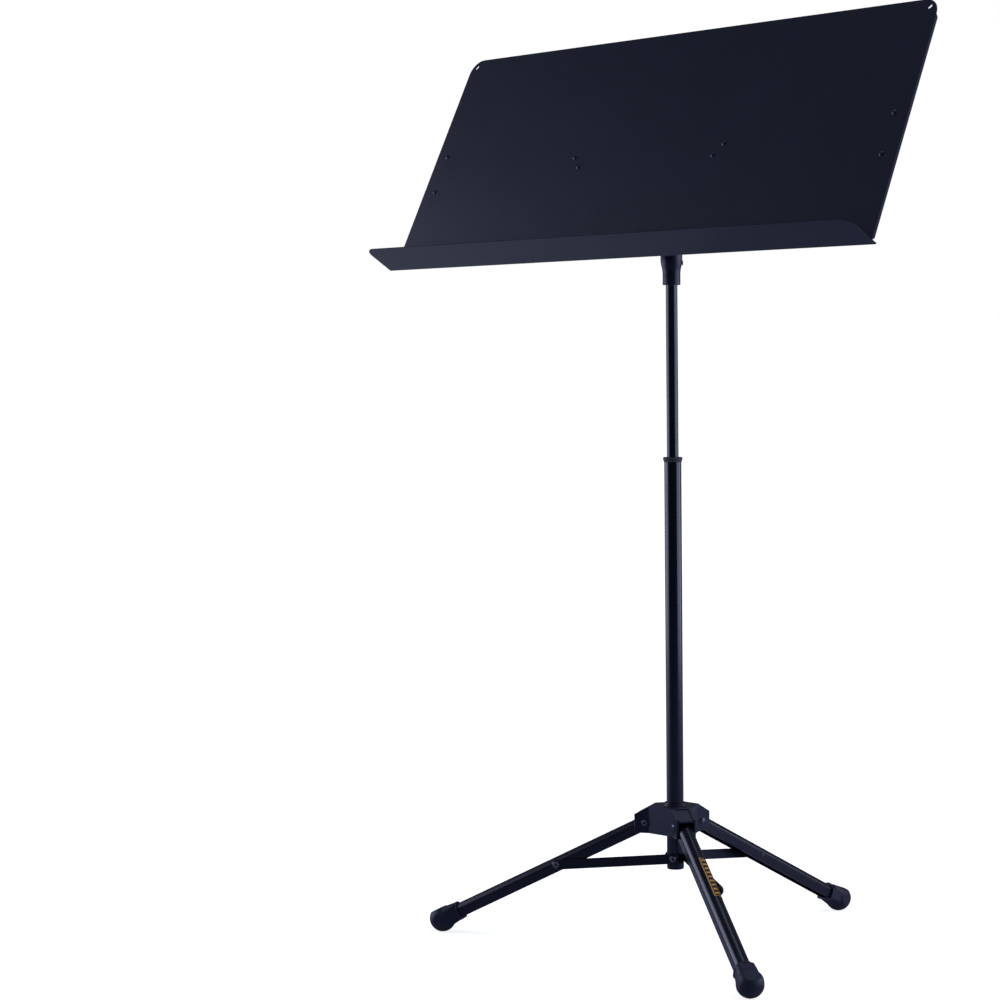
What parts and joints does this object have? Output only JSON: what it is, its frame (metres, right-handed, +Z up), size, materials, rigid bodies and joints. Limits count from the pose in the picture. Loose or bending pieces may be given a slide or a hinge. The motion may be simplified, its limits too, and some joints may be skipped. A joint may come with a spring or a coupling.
{
  "type": "music stand",
  "caption": "Orchestral music stand: wide tilting sheet-metal desk with a front shelf on a two-section height-adjustable pole over a folding tripod base with rubber feet.",
  "frame": {"origin": "bottom centre of the bounding box, on the floor, 80 mm behind the pole's axis measured from the reader's side", "axes": "+Z up along the pole; +X to the reader's right along the desk's width; +Y away from the reader, who stands on the -Y side"},
  "size_m": [0.858, 0.5134, 1.1751],
  "materials": {
    "black_tube": "gloss black powder coat",
    "desk_black": "satin black powder coat",
    "leg_black": "satin black paint",
    "strut_black": "satin black paint",
    "black_plastic": "fine-grained moulded plastic",
    "collar_plastic": "matt moulded plastic",
    "nylon": "natural black nylon",
    "foot_rubber": "smooth black rubber",
    "dark_steel": "black oxide",
    "bright_steel": "zinc plated",
    "band_foil": "thin printed foil with a plain gold frame"
  },
  "bodies": {
    "pole_base": {"lower_tube": "black_tube", "tube_end_plug": "black_plastic", "strut_pivot_rivets": "dark_steel", "strut_pivot_washers": "nylon", "clutch_bush": "collar_plastic", "clutch_ring": "nylon"},
    "hub": {"leg_hub": "black_plastic", "hub_bush": "nylon", "leg_pivot_rivets": "dark_steel"},
    "leg_front_left": {"leg_front_left": "leg_black", "foot_front_left": "foot_rubber", "strut_pin_front_left": "dark_steel"},
    "strut_front_left": {"strut_front_left": "strut_black", "strut_rivet_front_left": "dark_steel", "strut_spacer_front_left": "nylon"},
    "leg_front_right": {"leg_front_right": "leg_black", "foot_front_right": "foot_rubber", "strut_pin_front_right": "dark_steel", "leg_band": "band_foil"},
    "strut_front_right": {"strut_front_right": "strut_black", "strut_rivet_front_right": "dark_steel", "strut_spacer_front_right": "nylon"},
    "leg_rear": {"leg_rear": "leg_black", "foot_rear": "foot_rubber", "strut_pin_rear": "dark_steel"},
    "strut_rear": {"strut_rear": "strut_black", "strut_rivet_rear": "dark_steel", "strut_spacer_rear": "nylon"},
    "glide": {"glide_bush": "nylon"},
    "upper_shaft": {"upper_tube": "black_tube", "upper_tube_plug": "black_plastic", "stop_ring": "nylon", "tilt_head": "black_plastic", "head_screw": "dark_steel"},
    "desk": {"desk_panel": "desk_black", "back_brace": "desk_black", "tilt_yoke": "desk_black", "centre_rivets": "desk_black", "side_rivets": "desk_black", "tilt_bolt": "bright_steel", "tilt_nut": "bright_steel", "steel_washers": "bright_steel", "friction_washers": "nylon"}
  },
  "joints": [
    {"name": "height_slide", "type": "slide", "parent": "pole_base", "child": "glide", "axis": [0, 0, 1], "range_m": [-0.21, 0.19]},
    {"name": "desk_swivel", "type": "hinge", "parent": "glide", "child": "upper_shaft", "pos_m": [0, -0.07975, 0.7], "axis": [0, 0, 1], "continuous": true},
    {"name": "desk_tilt", "type": "hinge", "parent": "upper_shaft", "child": "desk", "pos_m": [0, -0.07975, 0.99], "axis": [-1, 0, 0], "range_deg": [-25.5, 64]},
    {"name": "hub_slide", "type": "slide", "parent": "pole_base", "child": "hub", "axis": [0, 0, 1], "range_m": [0, 0.2418]},
    {"name": "leg_fold_front_left", "type": "hinge", "parent": "hub", "child": "leg_front_left", "pos_m": [-0.03248, -0.0985, 0.158], "axis": [0.5, -0.866, 0], "range_deg": [0, 63.43]},
    {"name": "strut_fold_front_left", "type": "hinge", "parent": "pole_base", "child": "strut_front_left", "pos_m": [0, -0.07975, 0.113], "axis": [-0.5, 0.866, 0], "range_deg": [0, 81.64]},
    {"name": "leg_fold_front_right", "type": "hinge", "parent": "hub", "child": "leg_front_right", "pos_m": [0.03248, -0.0985, 0.158], "axis": [0.5, 0.866, 0], "range_deg": [0, 63.43]},
    {"name": "strut_fold_front_right", "type": "hinge", "parent": "pole_base", "child": "strut_front_right", "pos_m": [0, -0.07975, 0.113], "axis": [-0.5, -0.866, 0], "range_deg": [0, 81.64]},
    {"name": "leg_fold_rear", "type": "hinge", "parent": "hub", "child": "leg_rear", "pos_m": [0, -0.04225, 0.158], "axis": [-1, 0, 0], "range_deg": [0, 63.43]},
    {"name": "strut_fold_rear", "type": "hinge", "parent": "pole_base", "child": "strut_rear", "pos_m": [0, -0.07975, 0.113], "axis": [1, 0, 0], "range_deg": [0, 81.64]}
  ],
  "couplings": [
    {"joint": "leg_fold_front_left", "follows": "hub_slide", "rad_per_m": 4.573},
    {"joint": "strut_fold_front_left", "follows": "hub_slide", "rad_per_m": 5.8859},
    {"joint": "leg_fold_front_right", "follows": "hub_slide", "rad_per_m": 4.573},
    {"joint": "strut_fold_front_right", "follows": "hub_slide", "rad_per_m": 5.8859},
    {"joint": "leg_fold_rear", "follows": "hub_slide", "rad_per_m": 4.573},
    {"joint": "strut_fold_rear", "follows": "hub_slide", "rad_per_m": 5.8859}
  ]
}
